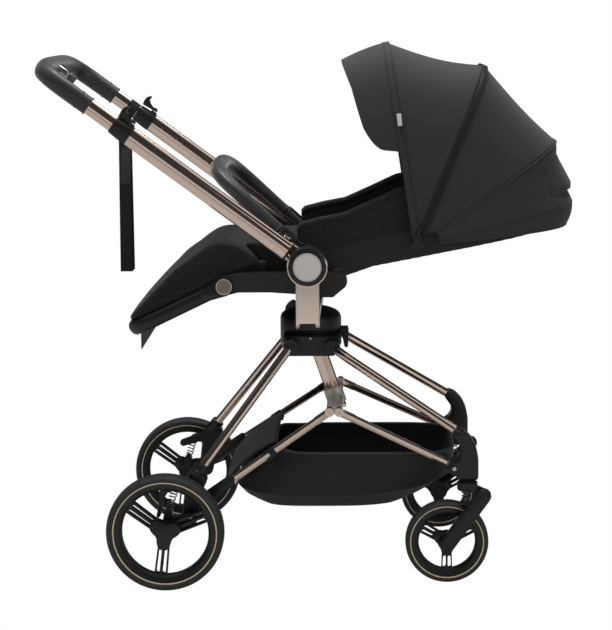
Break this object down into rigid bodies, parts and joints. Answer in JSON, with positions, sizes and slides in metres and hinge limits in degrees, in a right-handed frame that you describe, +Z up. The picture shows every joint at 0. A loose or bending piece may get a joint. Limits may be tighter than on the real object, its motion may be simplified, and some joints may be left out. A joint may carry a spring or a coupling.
{
  "type": "two-in-one pram",
  "caption": "Folding pram with a turning seat unit, reclining tub under a fan canopy, tilting U handle, sprung wheels and swivel casters.",
  "frame": {"origin": "on the floor, in the middle of the bounding box, under the axis that the seat unit turns on", "axes": "+Z up, +X towards the caster wheels and the canopy, -X towards the handle grip, +Y to the far side of the picture"},
  "size_m": [1.156, 0.598, 1.1581],
  "materials": {
    "champagne": "polished",
    "black_plastic": "satin",
    "silver": "satin",
    "spring_steel": "satin",
    "tyre_rubber": "matte",
    "leather": "satin",
    "canopy_cloth": "matte",
    "black_cloth": "matte",
    "webbing": "matte"
  },
  "bodies": {
    "hub_base": {"hub_lower_case": "black_plastic", "guide_column": "champagne", "basket": "black_cloth"},
    "fold_lever": {"fold_lever": "black_plastic"},
    "nexus": {"nexus_bracket": "silver"},
    "front_struts": {"front_strut_L": "champagne", "front_strut_R": "champagne"},
    "rear_struts": {"rear_strut_L": "champagne", "rear_strut_R": "champagne"},
    "front_legs": {"front_leg_L": "champagne", "front_leg_R": "champagne", "front_housing_L": "black_plastic", "front_housing_R": "black_plastic"},
    "rear_legs": {"rear_leg_L": "champagne", "rear_leg_R": "champagne", "rear_housing_L": "black_plastic", "rear_housing_R": "black_plastic", "rear_spring_L": "spring_steel", "rear_spring_R": "spring_steel"},
    "brake_pedal": {"brake_pedal": "black_plastic"},
    "turntable": {"hub_upper_case": "black_plastic", "yoke": "black_plastic"},
    "swivel_lever": {"swivel_lever": "black_plastic"},
    "handle_outer": {"handle_tube_L": "champagne", "handle_tube_R": "champagne", "collar_L": "black_plastic", "collar_R": "black_plastic", "wrist_strap": "webbing"},
    "handle_inner": {"handle_inner_tube": "champagne", "handle_grip": "leather"},
    "grip_button": {"grip_button": "silver"},
    "seat": {"seat_frame": "black_plastic", "seat_cushion": "black_cloth"},
    "bumper": {"bumper_bar": "leather"},
    "footrest": {"footrest_frame": "black_plastic", "footrest_cushion": "canopy_cloth"},
    "backrest": {"backrest_shell": "canopy_cloth", "canopy_back_panel": "canopy_cloth"},
    "canopy_middle": {"canopy_middle_bow": "black_plastic", "canopy_middle_panel": "canopy_cloth"},
    "canopy_front": {"canopy_front_bow": "canopy_cloth", "canopy_front_panel": "canopy_cloth"},
    "caster_L": {"caster_L": "black_plastic", "front_spring_L": "spring_steel"},
    "front_arm_L": {"front_arm_L": "black_plastic"},
    "front_wheel_L": {"front_tyre_L": "tyre_rubber", "front_rim_L": "black_plastic"},
    "rear_arm_L": {"rear_arm_L": "black_plastic"},
    "rear_wheel_L": {"rear_tyre_L": "tyre_rubber", "rear_rim_L": "black_plastic"},
    "collar_lever_L": {"collar_lever_L": "black_plastic"},
    "caster_R": {"caster_R": "black_plastic", "front_spring_R": "spring_steel"},
    "front_arm_R": {"front_arm_R": "black_plastic"},
    "front_wheel_R": {"front_tyre_R": "tyre_rubber", "front_rim_R": "black_plastic"},
    "rear_arm_R": {"rear_arm_R": "black_plastic"},
    "rear_wheel_R": {"rear_tyre_R": "tyre_rubber", "rear_rim_R": "black_plastic"},
    "collar_lever_R": {"collar_lever_R": "black_plastic"}
  },
  "joints": [
    {"name": "frame_fold", "type": "hinge", "parent": "hub_base", "child": "front_legs", "pos_m": [0.05, 0, 0.5], "axis": [0, 1, 0], "range_deg": [0, 30]},
    {"name": "nexus_slide", "type": "slide", "parent": "hub_base", "child": "nexus", "axis": [-0.3266, 0, 0.9452], "range_m": [0, 0.043]},
    {"name": "rear_legs_fold", "type": "hinge", "parent": "hub_base", "child": "rear_legs", "pos_m": [-0.041, 0, 0.503], "axis": [0, 1, 0], "range_deg": [-6.6, 0]},
    {"name": "front_struts_hinge", "type": "hinge", "parent": "nexus", "child": "front_struts", "pos_m": [0.0645, 0, 0.366], "axis": [0, 1, 0], "range_deg": [0, 43.3]},
    {"name": "rear_struts_hinge", "type": "hinge", "parent": "nexus", "child": "rear_struts", "pos_m": [0.0435, 0, 0.366], "axis": [0, 1, 0], "range_deg": [-13.4, 0]},
    {"name": "fold_lever_hinge", "type": "hinge", "parent": "hub_base", "child": "fold_lever", "pos_m": [0.077, 0, 0.516], "axis": [0, -1, 0], "range_deg": [0, 20], "stiffness_Nm_per_rad": 0.2, "springref_deg": -20.05},
    {"name": "brake_hinge", "type": "hinge", "parent": "rear_legs", "child": "brake_pedal", "pos_m": [-0.3145, -0.277, 0.206], "axis": [0, 1, 0], "range_deg": [0, 20]},
    {"name": "hub_swivel", "type": "hinge", "parent": "hub_base", "child": "turntable", "pos_m": [0, 0, 0.526], "axis": [0, 0, 1], "continuous": true},
    {"name": "swivel_lever_hinge", "type": "hinge", "parent": "turntable", "child": "swivel_lever", "pos_m": [-0.0325, 0, 0.5765], "axis": [0, 1, 0], "range_deg": [0, 20], "stiffness_Nm_per_rad": 0.3, "springref_deg": -20.05},
    {"name": "handle_tilt", "type": "hinge", "parent": "turntable", "child": "handle_outer", "pos_m": [0, 0, 0.6946], "axis": [0, 1, 0], "range_deg": [-30, 53]},
    {"name": "handle_extend", "type": "slide", "parent": "handle_outer", "child": "handle_inner", "axis": [-0.8026, 0, 0.5965], "range_m": [-0.035, 0.075]},
    {"name": "grip_button_press", "type": "slide", "parent": "handle_inner", "child": "grip_button", "axis": [-0.8026, 0, 0.5965], "range_m": [0, 0.004], "stiffness_N_per_m": 800, "springref_m": -0.003},
    {"name": "seat_lift", "type": "slide", "parent": "turntable", "child": "seat", "axis": [0, 0, 1], "range_m": [0, 0.1]},
    {"name": "bumper_hinge", "type": "hinge", "parent": "seat", "child": "bumper", "pos_m": [-0.012, 0, 0.722], "axis": [0, 1, 0], "range_deg": [-25, 0]},
    {"name": "footrest_hinge", "type": "hinge", "parent": "seat", "child": "footrest", "pos_m": [-0.18, 0, 0.647], "axis": [0, 1, 0], "range_deg": [-40, 26]},
    {"name": "backrest_hinge", "type": "hinge", "parent": "seat", "child": "backrest", "pos_m": [0.062, 0, 0.657], "axis": [0, -1, 0], "range_deg": [0, 35]},
    {"name": "canopy_middle_hinge", "type": "hinge", "parent": "backrest", "child": "canopy_middle", "pos_m": [0.233, 0, 0.73], "axis": [0, 1, 0], "range_deg": [0, 24], "deforming": ["canopy_middle_panel"]},
    {"name": "canopy_front_hinge", "type": "hinge", "parent": "canopy_middle", "child": "canopy_front", "pos_m": [0.233, 0, 0.73], "axis": [0, 1, 0], "range_deg": [0, 24], "deforming": ["canopy_front_panel"]},
    {"name": "caster_swivel_L", "type": "hinge", "parent": "front_legs", "child": "caster_L", "pos_m": [0.341, 0.218, 0.2215], "axis": [0, 0, 1], "continuous": true},
    {"name": "front_arm_hinge_L", "type": "hinge", "parent": "caster_L", "child": "front_arm_L", "pos_m": [0.3745, 0.218, 0.198], "axis": [0, 1, 0], "range_deg": [0, 6], "stiffness_Nm_per_rad": 60, "springref_deg": -8.59, "deforming": ["front_spring_L"]},
    {"name": "front_wheel_spin_L", "type": "hinge", "parent": "front_arm_L", "child": "front_wheel_L", "pos_m": [0.297, 0.218, 0.09], "axis": [0, 1, 0], "continuous": true},
    {"name": "rear_arm_hinge_L", "type": "hinge", "parent": "rear_legs", "child": "rear_arm_L", "pos_m": [-0.256, 0.277, 0.148], "axis": [0, 1, 0], "range_deg": [0, 8], "stiffness_Nm_per_rad": 60, "springref_deg": -8.59, "deforming": ["rear_spring_L"]},
    {"name": "rear_wheel_spin_L", "type": "hinge", "parent": "rear_arm_L", "child": "rear_wheel_L", "pos_m": [-0.309, 0.277, 0.127], "axis": [0, 1, 0], "continuous": true},
    {"name": "collar_lever_hinge_L", "type": "hinge", "parent": "handle_outer", "child": "collar_lever_L", "pos_m": [-0.36336, 0.219, 1.00102], "axis": [0, 1, 0], "range_deg": [0, 60]},
    {"name": "caster_swivel_R", "type": "hinge", "parent": "front_legs", "child": "caster_R", "pos_m": [0.341, -0.218, 0.2215], "axis": [0, 0, 1], "continuous": true},
    {"name": "front_arm_hinge_R", "type": "hinge", "parent": "caster_R", "child": "front_arm_R", "pos_m": [0.3745, -0.218, 0.198], "axis": [0, 1, 0], "range_deg": [0, 6], "stiffness_Nm_per_rad": 60, "springref_deg": -8.59, "deforming": ["front_spring_R"]},
    {"name": "front_wheel_spin_R", "type": "hinge", "parent": "front_arm_R", "child": "front_wheel_R", "pos_m": [0.297, -0.218, 0.09], "axis": [0, 1, 0], "continuous": true},
    {"name": "rear_arm_hinge_R", "type": "hinge", "parent": "rear_legs", "child": "rear_arm_R", "pos_m": [-0.256, -0.277, 0.148], "axis": [0, 1, 0], "range_deg": [0, 8], "stiffness_Nm_per_rad": 60, "springref_deg": -8.59, "deforming": ["rear_spring_R"]},
    {"name": "rear_wheel_spin_R", "type": "hinge", "parent": "rear_arm_R", "child": "rear_wheel_R", "pos_m": [-0.309, -0.277, 0.127], "axis": [0, 1, 0], "continuous": true},
    {"name": "collar_lever_hinge_R", "type": "hinge", "parent": "handle_outer", "child": "collar_lever_R", "pos_m": [-0.36336, -0.219, 1.00102], "axis": [0, 1, 0], "range_deg": [0, 60]}
  ],
  "couplings": [
    {"joint": "nexus_slide", "follows": "frame_fold", "m_per_rad": 0.081625},
    {"joint": "rear_legs_fold", "follows": "frame_fold", "ratio": -0.21863},
    {"joint": "front_struts_hinge", "follows": "frame_fold", "ratio": 1.4385},
    {"joint": "rear_struts_hinge", "follows": "frame_fold", "ratio": -0.44344},
    {"joint": "canopy_front_hinge", "follows": "canopy_middle_hinge", "ratio": 1}
  ]
}
